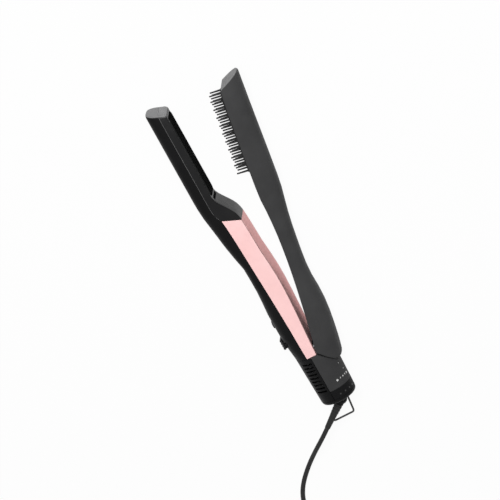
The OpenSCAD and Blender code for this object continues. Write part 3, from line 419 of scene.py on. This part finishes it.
def own_coordinates(tree, stretch=NO_STRETCH):
    where = tree.nodes.new("ShaderNodeTexCoord")
    scale = tree.nodes.new("ShaderNodeMapping")
    scale.inputs["Scale"].default_value = stretch
    tree.links.new(where.outputs["Object"], scale.inputs["Vector"])
    return scale.outputs["Vector"]


def noise(tree, vector, scale, detail=3.0):
    texture = tree.nodes.new("ShaderNodeTexNoise")
    texture.inputs["Scale"].default_value = scale
    texture.inputs["Detail"].default_value = detail
    tree.links.new(vector, texture.inputs["Vector"])
    return texture.outputs["Fac"]


def mapped(tree, value, low, high, start=0.3, end=0.7):
    """Stretch a value to another range. Noise hardly leaves 0.3 to 0.7, so those are the ends."""
    span = tree.nodes.new("ShaderNodeMapRange")
    span.inputs["From Min"].default_value = start
    span.inputs["From Max"].default_value = end
    span.inputs["To Min"].default_value = low
    span.inputs["To Max"].default_value = high
    tree.links.new(value, span.inputs["Value"])
    return span.outputs["Result"]


def mixed(tree, value, first, second):
    mix = tree.nodes.new("ShaderNodeMix")
    mix.data_type = "RGBA"
    for socket, colour in ((mix.inputs[6], first), (mix.inputs[7], second)):
        if isinstance(colour, tuple):
            socket.default_value = (*colour, 1)
        else:
            tree.links.new(colour, socket)
    tree.links.new(value, mix.inputs[0])
    return mix.outputs[2]


def tilted(tree, height, depth):
    bump = tree.nodes.new("ShaderNodeBump")
    bump.inputs["Distance"].default_value = depth
    tree.links.new(height, bump.inputs["Height"])
    return bump.outputs["Normal"]


# %% The shared recipe
BLOTCH_SCALE = 45
WANDER_SCALE = 160
GRAIN_DETAIL = 2.0
COAT_ROUGHNESS = 0.12


def moulded(name, colours, roughness, reflection, grain,
            stretch=NO_STRETCH, metal=0.0, coat=0.0, rim=1.0):
    """colours and roughness are pairs, and grain is (bumps per metre, depth in metres)."""
    material, tree, shader = start_finish(name)
    vector = own_coordinates(tree, stretch)
    blotches = mapped(tree, noise(tree, vector, BLOTCH_SCALE), 0, 1)
    tree.links.new(mixed(tree, blotches, *colours), shader.inputs["Base Color"])
    wander = noise(tree, vector, WANDER_SCALE)
    tree.links.new(mapped(tree, wander, *roughness), shader.inputs["Roughness"])
    bumps = noise(tree, vector, grain[0], GRAIN_DETAIL)
    tree.links.new(tilted(tree, bumps, grain[1]), shader.inputs["Normal"])
    shader.inputs["Specular IOR Level"].default_value = reflection
    shader.inputs["Metallic"].default_value = metal
    shader.inputs["Coat Weight"].default_value = coat
    shader.inputs["Coat Roughness"].default_value = COAT_ROUGHNESS
    shader.inputs["Specular Tint"].default_value = (rim, rim, rim, 1)
    return material


# %% [markdown]
# The body is moulded in two tones: the vents, the lower arm and the plate arm are nearly black
# with a satin texture, and the brush arm and the upper half of the base are a soft dark grey. The
# texture of such a mould is like very fine leather, about a third of a millimetre across and a few
# hundredths deep.

# %% The plastics of the body
FINISHES = {
    "black_satin": moulded(
        "satin_black_shell", ((0.0030, 0.0030, 0.0032), (0.0055, 0.0055, 0.006)),
        roughness=(0.38, 0.52), reflection=0.09, grain=(2800, 0.00002)),
    "grey_matte": moulded(
        "soft_grey_shell", ((0.045, 0.045, 0.046), (0.056, 0.056, 0.057)),
        roughness=(0.5, 0.64), reflection=0.08, grain=(2600, 0.00003)),
    "dark_gloss": moulded(
        "gloss_black_frame", ((0.010, 0.010, 0.0105), (0.015, 0.015, 0.0155)),
        roughness=(0.24, 0.34), reflection=0.12, grain=(1500, 0.00001)),
    "inner_plastic": moulded(
        "inner_black_plastic", ((0.018, 0.018, 0.019), (0.026, 0.026, 0.027)),
        roughness=(0.5, 0.65), reflection=0.3, grain=(1800, 0.00003)),
    "lens": moulded(
        "smoked_lens", ((0.010, 0.010, 0.011), (0.018, 0.018, 0.018)),
        roughness=(0.12, 0.2), reflection=0.4, grain=(900, 0.00001), coat=0.2),
}
print("plastics", sorted(FINISHES))

# %% [markdown]
# ## Rose gold
#
# The cover between the arms is plastic with a metallic lacquer. Lacquer is flakes of metal in
# tinted varnish: part of the light comes back like a mirror and part like paint, and the flakes
# make a very fine sparkle. A little more metal than paint gives both, a thin coat gives the clear
# varnish, and a tiny cell texture breaks the colour.

# %% The rose gold lacquer
FLAKE_SCALE = 5200
FLAKE_COLOUR, FLAKE_SHARE = (1.0, 0.82, 0.80), 0.10
ROSE_TONES = (0.96, 0.600, 0.590), (1.0, 0.650, 0.640)
ROSE_BLOTCH_SCALE, ROSE_WANDER_SCALE = 30, 220


def rose_lacquer():
    material, tree, shader = start_finish("rose_gold_lacquer")
    vector = own_coordinates(tree)
    flakes = tree.nodes.new("ShaderNodeTexVoronoi")
    flakes.inputs["Scale"].default_value = FLAKE_SCALE
    tree.links.new(vector, flakes.inputs["Vector"])
    sparkle = mapped(tree, flakes.outputs["Distance"], 0, 1, start=0.1, end=0.6)
    blotches = mapped(tree, noise(tree, vector, ROSE_BLOTCH_SCALE), 0, 1)
    body = mixed(tree, blotches, *ROSE_TONES)
    flaked = mixed(tree, mapped(tree, sparkle, 0, FLAKE_SHARE, start=0, end=1), body, FLAKE_COLOUR)
    tree.links.new(flaked, shader.inputs["Base Color"])
    wander = noise(tree, vector, ROSE_WANDER_SCALE)
    tree.links.new(mapped(tree, wander, 0.30, 0.40), shader.inputs["Roughness"])
    tree.links.new(tilted(tree, flakes.outputs["Distance"], 0.00001), shader.inputs["Normal"])
    shader.inputs["Metallic"].default_value = 0.6
    shader.inputs["Specular IOR Level"].default_value = 0.15
    shader.inputs["Specular Tint"].default_value = (0.62, 0.30, 0.29, 1)
    shader.inputs["Coat Weight"].default_value = 0.05
    shader.inputs["Coat Roughness"].default_value = 0.2
    return material


FINISHES["rose_gold"] = rose_lacquer()

# %% [markdown]
# ## Metals
#
# The bracket, the pin and the screws are turned or stamped steel, the bushes are brass, and the
# plate is aluminium under a dark ceramic coat. Brushing shows as grain that is long one way and
# short the other, which comes from the same noise when its coordinates are stretched.

# %% The metals and the hard inner finishes
BRUSHED = (1, 14, 1)
METAL = 1.0
FINISHES.update({
    "steel": moulded(
        "brushed_steel", ((0.50, 0.50, 0.52), (0.60, 0.60, 0.62)),
        roughness=(0.28, 0.42), reflection=0.5, grain=(700, 0.00002), stretch=BRUSHED, metal=METAL),
    "spring_steel": moulded(
        "drawn_spring_steel", ((0.42, 0.43, 0.46), (0.55, 0.56, 0.58)),
        roughness=(0.22, 0.34), reflection=0.5, grain=(900, 0.00001), stretch=BRUSHED, metal=METAL),
    "brass": moulded(
        "turned_brass", ((0.66, 0.48, 0.19), (0.78, 0.60, 0.27)),
        roughness=(0.25, 0.38), reflection=0.5, grain=(900, 0.00001), stretch=BRUSHED, metal=METAL),
    "pin_metal": moulded(
        "nickel_pins", ((0.68, 0.66, 0.60), (0.78, 0.75, 0.68)),
        roughness=(0.14, 0.24), reflection=0.5, grain=(600, 0.00001), stretch=BRUSHED, metal=METAL),
    "black_wire": moulded(
        "lacquered_wire", ((0.010, 0.010, 0.010), (0.016, 0.016, 0.016)),
        roughness=(0.28, 0.4), reflection=0.4, grain=(900, 0.00002), coat=0.2),
    "plate_ceramic": moulded(
        "dark_ceramic_plate", ((0.022, 0.023, 0.023), (0.032, 0.033, 0.033)),
        roughness=(0.26, 0.36), reflection=0.5, grain=(3200, 0.00001), stretch=(1, 6, 1),
        metal=METAL, rim=0.14),
    "heater": moulded(
        "mica_heater", ((0.52, 0.44, 0.28), (0.66, 0.57, 0.40)),
        roughness=(0.5, 0.7), reflection=0.4, grain=(1200, 0.00004), stretch=(1, 3, 1)),
    "board_green": moulded(
        "board_lacquer", ((0.012, 0.09, 0.035), (0.02, 0.13, 0.055)),
        roughness=(0.25, 0.4), reflection=0.5, grain=(2000, 0.00002)),
})

# %% [markdown]
# ## Rubber, bristles and the strap
#
# The lead and its plug are matt PVC with a faint skin texture. Bristles are nylon with a smooth
# skin, and they stand in a rubber cushion. The strap round the hank is woven: two sets of threads
# cross, so two wave textures at right angles, one for the warp and one for the weft, are joined by
# the higher of the two as the height of the cloth.

# %% The soft finishes
THREAD_SCALE = 330
THREAD_UNEVENNESS = 0.6


def woven_strap():
    material, tree, shader = start_finish("woven_strap")
    vector = own_coordinates(tree)
    threads = []
    for direction in ("X", "Y"):
        wave = tree.nodes.new("ShaderNodeTexWave")
        wave.bands_direction = direction
        wave.inputs["Scale"].default_value = THREAD_SCALE
        wave.inputs["Distortion"].default_value = THREAD_UNEVENNESS
        tree.links.new(vector, wave.inputs["Vector"])
        threads.append(wave.outputs["Fac"])
    cloth = combined(tree, "MAXIMUM", *threads)
    colour = mixed(tree, cloth, (0.006, 0.006, 0.006), (0.030, 0.030, 0.031))
    tree.links.new(colour, shader.inputs["Base Color"])
    tree.links.new(mapped(tree, cloth, 0.95, 0.75), shader.inputs["Roughness"])
    tree.links.new(tilted(tree, cloth, 0.00025), shader.inputs["Normal"])
    shader.inputs["Specular IOR Level"].default_value = 0.2
    shader.inputs["Sheen Weight"].default_value = 0.25
    return material


FINISHES.update({
    "cord_rubber": moulded(
        "matt_cord_rubber", ((0.007, 0.007, 0.007), (0.012, 0.012, 0.012)),
        roughness=(0.45, 0.6), reflection=0.3, grain=(1600, 0.00004)),
    "bristle_rubber": moulded(
        "cushion_rubber", ((0.008, 0.008, 0.008), (0.014, 0.014, 0.014)),
        roughness=(0.55, 0.7), reflection=0.25, grain=(2200, 0.00004)),
    "bristle_plastic": moulded(
        "bristle_nylon", ((0.006, 0.006, 0.006), (0.010, 0.010, 0.010)),
        roughness=(0.32, 0.42), reflection=0.25, grain=(1500, 0.00001)),
    "tie_fabric": woven_strap(),
})
print(len(FINISHES), "finishes")

# %% [markdown]
# ## A black band and painted highlights on the tips
#
# At the tail the grey cover of the base is bordered by a black band, moulded in a second colour.
# The end faces of both tips are painted a lighter grey: a painted highlight for the light they
# catch from the lamp beyond the tips. Both are done with colour and not with shape, so a plane laid
# through the piece splits its finish: beyond the plane the second colour shows. The plane is a
# point and a direction, and the distance from it comes from one dot product.

# %% Split a finish by a plane
TONE_SOFTNESS = 0.3


# Used for the black band, a real second colour, and for the painted highlights on the tips.
def split_finish_by_plane(finish, name, point, direction, colour):
    material = finish.copy()
    material.name = name
    tree = material.node_tree
    shader = tree.nodes["Principled BSDF"]
    first = shader.inputs["Base Color"].links[0].from_socket
    where = tree.nodes.new("ShaderNodeTexCoord")
    along = tree.nodes.new("ShaderNodeVectorMath")
    along.operation = "DOT_PRODUCT"
    direction = Vector(direction).normalized()
    along.inputs[1].default_value = direction
    tree.links.new(where.outputs["Object"], along.inputs[0])
    edge = Vector(point).dot(direction)
    soft = TONE_SOFTNESS * MM
    mask = mapped(tree, along.outputs["Value"], 0, 1, start=edge - soft, end=edge + soft)
    tree.links.new(mixed(tree, mask, first, colour), shader.inputs["Base Color"])
    return material


# %% The black band and the painted highlights on the tips
BAND = place(0, 13.0, 0)
TOWARDS_TAIL = (0, -1, 0)
BAND_BLACK = (0.006, 0.006, 0.0065)
# The lighter grey on the tips' end faces is a painted highlight, standing for the light they catch.
TIP_PAINTED_HIGHLIGHT = (0.21, 0.21, 0.212)
TIP_DEPTH = 1.6
ARM_TIP = place(-17.4, 306.5 - TIP_DEPTH, AXIS_HEIGHT)
ARM_TIP_FACING = (0.36, 1, 0)
BRUSH_TIP_X, BRUSH_TIP_Y = 14, 312
BRUSH_TIP = on_brush_arm(BRUSH_TIP_X, BRUSH_TIP_Y - TIP_DEPTH, 0)
BRUSH_TIP_FACING = (on_brush_arm(BRUSH_TIP_X - 57, BRUSH_TIP_Y + 100, 0)
                    - on_brush_arm(BRUSH_TIP_X, BRUSH_TIP_Y, 0))
BAND_AND_HIGHLIGHT_SPLITS = [
    # piece, first finish, name of the new one, a point and a direction of the plane, and the
    # second colour, which on the tips is a painted highlight
    ("base_top_cover", "grey_matte", "grey_with_black_band", BAND, TOWARDS_TAIL, BAND_BLACK),
    ("lower_shell", "black_satin", "black_with_painted_tip_highlight", ARM_TIP, ARM_TIP_FACING, TIP_PAINTED_HIGHLIGHT),
    ("plate_frame", "dark_gloss", "gloss_with_painted_tip_highlight", ARM_TIP, ARM_TIP_FACING, TIP_PAINTED_HIGHLIGHT),
    ("brush_shell", "grey_matte", "grey_with_painted_tip_highlight", BRUSH_TIP, BRUSH_TIP_FACING, TIP_PAINTED_HIGHLIGHT),
]
BAND_AND_HIGHLIGHT_FINISHES = {node: split_finish_by_plane(FINISHES[slot], *rest) for node, slot, *rest in BAND_AND_HIGHLIGHT_SPLITS}
print(len(BAND_AND_HIGHLIGHT_FINISHES), "band and tip highlight finishes")

# %% [markdown]
# ## Give every solid its finish
#
# Each solid has a slot in the imported record, so a finish is looked up rather than guessed. Only
# the pieces with the black band or a painted highlight on the tip have a finish of their own.

# %% Finishes by the record's slots
slots = {row["node"]: row["material_slot"] for row in frame["record"]["subparts"]}
for name, solid in nodes.items():
    finish = BAND_AND_HIGHLIGHT_FINISHES.get(name, FINISHES[slots[name]])
    solid.data.materials.clear()
    solid.data.materials.append(finish)
mains_lead.data.materials.append(FINISHES["cord_rubber"])
print(len(slots), "solids dressed")

# %% [markdown]
# ## Soft edges
#
# No moulded edge is truly sharp: a radius of a few tenths of a millimetre catches the light and
# tells the eye that a thing is solid. The solids come with split corners, so a small node tree
# first welds them, forgets their old normals and marks only the real corners as sharp. A bevel
# then rounds those, and the faces between are shaded smoothly. Nothing is written to the meshes
# themselves.

# %% A node tree that welds and smooths
CORNER = math.radians(28)
WELD_DISTANCE = 0.000002


def welding_tree():
    tree = bpy.data.node_groups.new("weld_and_smooth", "GeometryNodeTree")
    tree.interface.new_socket("Geometry", in_out="INPUT", socket_type="NodeSocketGeometry")
    tree.interface.new_socket("Geometry", in_out="OUTPUT", socket_type="NodeSocketGeometry")
    start = tree.nodes.new("NodeGroupInput")
    weld = tree.nodes.new("GeometryNodeMergeByDistance")
    weld.inputs["Distance"].default_value = WELD_DISTANCE
    forget = tree.nodes.new("GeometryNodeRemoveAttribute")
    forget.inputs["Name"].default_value = "custom_normal"
    angle = tree.nodes.new("GeometryNodeInputMeshEdgeAngle")
    corner = tree.nodes.new("FunctionNodeCompare")
    corner.data_type = "FLOAT"
    corner.operation = "GREATER_THAN"
    corner.inputs[1].default_value = CORNER
    mark = tree.nodes.new("GeometryNodeStoreNamedAttribute")
    mark.data_type = "BOOLEAN"
    mark.domain = "EDGE"
    mark.inputs["Name"].default_value = "sharp_edge"
    smooth = tree.nodes.new("GeometryNodeSetShadeSmooth")
    end = tree.nodes.new("NodeGroupOutput")
    chain = (start, weld, forget, mark, smooth)
    for earlier, later in zip(chain, chain[1:]):
        tree.links.new(earlier.outputs[0], later.inputs["Geometry"])
    tree.links.new(angle.outputs["Unsigned Angle"], corner.inputs[0])
    tree.links.new(corner.outputs[0], mark.inputs["Value"])
    tree.links.new(smooth.outputs[0], end.inputs[0])
    return tree


WELD = welding_tree()

# %% Round the visible edges
EDGE_RADIUS = {
    "lower_shell": 0.35, "plate_frame": 0.35, "brush_shell": 0.3, "grip_cover": 0.25,
    "base_top_cover": 0.25, "vent_housing": 0.15, "end_cap": 0.3, "brush_cover": 0.25,
    "power_slider": 0.2, "heat_button": 0.2, "heat_plate": 0.2, "bristle_pad": 0.3,
    "plug_body": 0.4, "hank_tie": 0.25, "hinge_block": 0.2,
}
BEVEL_SEGMENTS = 2


def soften(piece, radius=None):
    weld = piece.modifiers.new("weld_and_smooth", "NODES")
    weld.node_group = WELD
    if radius:
        bevel = piece.modifiers.new("edge_radius", "BEVEL")
        bevel.width = radius * MM
        bevel.segments = BEVEL_SEGMENTS
        bevel.limit_method = "ANGLE"
        bevel.angle_limit = CORNER
        bevel.harden_normals = True


for name, solid in nodes.items():
    soften(solid, EDGE_RADIUS.get(name))
print(len(EDGE_RADIUS), "solids with rounded edges")

# %% [markdown]
# ## The bristles
#
# Five rows of nylon bristles stand on a rubber cushion, each row shifted by half a step against
# the next, so the hair meets a bristle everywhere. A real bristle flares where it leaves its rail,
# tapers, and ends in a small ball that is kind to the scalp. That outline is turned round its own
# axis, like work on a lathe, and the rows are filled with copies in code. The solid rows of the
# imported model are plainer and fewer, and these stand for them.

# %% A helper for new pieces
def new_piece(name, form, body, material, smooth=True):
    bmesh.ops.recalc_face_normals(form, faces=form.faces)
    mesh = mesh_of(form, name)
    for face in mesh.polygons:
        face.use_smooth = smooth
    mesh.materials.append(material)
    piece = put(name, mesh)
    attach(piece, body)
    return piece


# %% Turn one bristle and fill the rows
ROWS, PER_ROW = 5, 10
BRISTLE_PITCH, ROW_PITCH = 7.7, 4.4
FIRST_BRISTLE_Y = 227.6
RAIL_FACE_X = 3.2
RAIL_OVERHANG = 1.4
BRISTLE_LENGTH = 10.55
BRISTLE_SIDES = 12
BRISTLE_OUTLINE = [
    # height above the rail, radius
    (-0.3, 1.25), (0.1, 1.12), (0.6, 0.96), (1.6, 0.90), (5.0, 0.80), (8.6, 0.68), (9.3, 0.68),
    (9.8, 0.74), (10.2, 0.62), (10.45, 0.38),
]
RAIL_OUTLINE = [(0.4, -1.0), (-0.1, -1.0), (-0.3, -0.75), (-0.3, 0.75), (-0.1, 1.0), (0.4, 1.0)]


def add_bristle(form, y, z):
    rings = [
        [form.verts.new(on_brush_arm(RAIL_FACE_X - along, y + radius * cos, z + radius * sin))
         for cos, sin in once_round(BRISTLE_SIDES)]
        for along, radius in BRISTLE_OUTLINE
    ]
    tip = form.verts.new(on_brush_arm(RAIL_FACE_X - BRISTLE_LENGTH, y, z))
    skin(form, rings)
    for k in range(BRISTLE_SIDES):
        form.faces.new((rings[-1][k], rings[-1][(k + 1) % BRISTLE_SIDES], tip))
    form.faces.new(list(reversed(rings[0])))


def add_rail(form, low_y, high_y, z):
    ends = [[form.verts.new(on_brush_arm(RAIL_FACE_X + x, y, z + s)) for x, s in RAIL_OUTLINE]
            for y in (low_y, high_y)]
    skin(form, ends)
    form.faces.new(ends[0])
    form.faces.new(list(reversed(ends[1])))


for row in range(ROWS):
    form = bmesh.new()
    z = (row - (ROWS - 1) / 2) * ROW_PITCH
    first = FIRST_BRISTLE_Y + BRISTLE_PITCH / 2 * (row % 2)
    last = first + (PER_ROW - 1) * BRISTLE_PITCH
    add_rail(form, first - RAIL_OVERHANG, last + RAIL_OVERHANG, z)
    for i in range(PER_ROW):
        add_bristle(form, first + i * BRISTLE_PITCH, z)
    bristles = new_piece(
        f"bristles_{row + 1}", form, "brush_arm", FINISHES["bristle_plastic"])
    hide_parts(f"bristle_row_{row + 1}")
    soften(bristles)
print(ROWS * PER_ROW, "bristles")

# %% [markdown]
# ## The rubber cushion
#
# The rows stand on a soft pad with rounded corners and a rolled edge. Rings of one rounded
# outline, each a little smaller and a little higher than the last, give the roll, and one face
# closes the top.

# %% Build the cushion
PAD_LOW_Y, PAD_HIGH_Y, PAD_HALF = 225.8, 303.0, 10.6
PAD_CORNERS = [(PAD_HIGH_Y, PAD_HALF), (PAD_LOW_Y, PAD_HALF), (PAD_LOW_Y, -PAD_HALF),
               (PAD_HIGH_Y, -PAD_HALF)]
CORNER_RADIUS = 4.0
CORNER_STEPS = 6
PAD_FACE_X = 3.7
PAD_ROLL = [
    # depth under the face, inset from the outline
    (1.5, 0.0), (0.55, 0.0), (0.3, 0.1), (0.1, 0.32), (0.0, 0.7),
]


def pad_outline(inset):
    radius = CORNER_RADIUS - inset
    points = []
    for k, (y, z) in enumerate(PAD_CORNERS):
        centre_y = y - math.copysign(CORNER_RADIUS, y - (PAD_LOW_Y + PAD_HIGH_Y) / 2)
        centre_z = z - math.copysign(CORNER_RADIUS, z)
        for step in range(CORNER_STEPS + 1):
            angle = math.pi / 2 * (k + step / CORNER_STEPS)
            points.append((centre_y + radius * math.cos(angle), centre_z + radius * math.sin(angle)))
    return points


form = bmesh.new()
skin_and_ends(form, [
    [form.verts.new(on_brush_arm(PAD_FACE_X + depth, y, z)) for y, z in pad_outline(inset)]
    for depth, inset in PAD_ROLL
])
cushion = new_piece(
    "bristle_cushion", form, "brush_arm", FINISHES["bristle_rubber"])
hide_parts("bristle_pad")
soften(cushion)
print("cushion", round(PAD_HIGH_Y - PAD_LOW_Y, 1), "mm long")

# %% [markdown]
# ## The parting line
#
# Where the lower shell meets the frame of the plate arm, the edge of the seam catches a light line
# from the ramp to the tip. A hair-thin bead of light grey stands in for that line as a painted
# highlight. It is swept like the lead, only finer, and sunk to half its thickness in the seam, one
# on each side of the arm.

# %% Lay the beads in the seams
BEAD_RADIUS = 0.22
BEAD_SIDES = 8
SEAM_X = -17.3
PARTING = [
    # place across and along the arm, distance from its middle plane
    (-13.8, 196.5, 13.05), (-16.2, 201.3, 13.03), (-17.15, 206.8, 13.03), (SEAM_X, 212.8, 13.02),
    (SEAM_X, 238, 13.0), (SEAM_X, 256, 13.0), (SEAM_X, 274, 13.0), (SEAM_X, 292, 13.0),
    (SEAM_X, 301.0, 12.98), (SEAM_X, 303.2, 12.75), (SEAM_X, 304.8, 12.0),
]
# The bead's light grey is a painted highlight: the light that the seam's edge catches.
seam_highlight_finish = moulded(
    "painted_seam_highlight", ((0.10, 0.10, 0.10), (0.14, 0.14, 0.14)),
    roughness=(0.25, 0.35), reflection=0.3, grain=(900, 0.00001))
for side, label in ((1, "upper"), (-1, "lower")):
    seam = rounded(rounded([place(x, y, AXIS_HEIGHT + side * h) for x, y, h in PARTING]))
    bead = swept_tube(f"seam_highlight_bead_{label}", seam, BEAD_RADIUS * MM, BEAD_SIDES)
    bead.data.materials.append(seam_highlight_finish)
    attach(bead, "grip")
print(len(PARTING), "points in each seam")

# %% [markdown]
# ## Indicator marks
#
# Above the black band the base carries a row of five small white marks, one for each heat step,
# and two finer ones beside them. They are printed, so each is a hair's breadth of ink that follows
# the round of the base: a small disc or bar wrapped round the base's own radius. Plain dots and
# bars say nothing but which step is on.

# %% Print the marks round the base
TAIL_RADIUS, BASE_RADIUS, BASE_LENGTH = 16.4, 18.0, 49.0
INK = 0.05
MARK_SIDES = 20
MARK_RINGS = [
    # share of the mark's size, lift above the base
    (1.0, -0.1), (1.0, INK * 0.4), (0.8, INK),
]
MARKS = [
    # angle from the top in degrees, place along the base, half width round it, half length along it
    (29, 19.4, 1.0, 1.0), (41, 19.6, 0.35, 0.9), (52, 19.6, 0.7, 0.7), (63, 19.6, 0.35, 0.9),
    (74, 19.4, 1.0, 1.0), (69, 24.5, 0.4, 0.4), (60, 31.4, 0.4, 0.4),
]


def base_radius(y):
    return TAIL_RADIUS + (BASE_RADIUS - TAIL_RADIUS) * y / BASE_LENGTH


def on_base(angle, y, lift):
    radius = base_radius(y) + lift
    return place(radius * math.sin(angle), y, AXIS_HEIGHT + radius * math.cos(angle))


def print_marks():
    form = bmesh.new()
    for degrees, y, half_width, half_length in MARKS:
        middle = math.radians(degrees)
        skin_and_ends(form, [
            [form.verts.new(on_base(
                middle + share * half_width * cos / base_radius(y),
                y + share * half_length * sin, lift))
             for cos, sin in once_round(MARK_SIDES)]
            for share, lift in MARK_RINGS
        ])
    ink = moulded(
        "white_ink", ((0.74, 0.74, 0.73), (0.84, 0.84, 0.83)),
        roughness=(0.4, 0.5), reflection=0.4, grain=(2200, 0.00001))
    return new_piece("indicator_marks", form, "grip", ink, smooth=False)


print_marks()
print(len(MARKS), "marks")
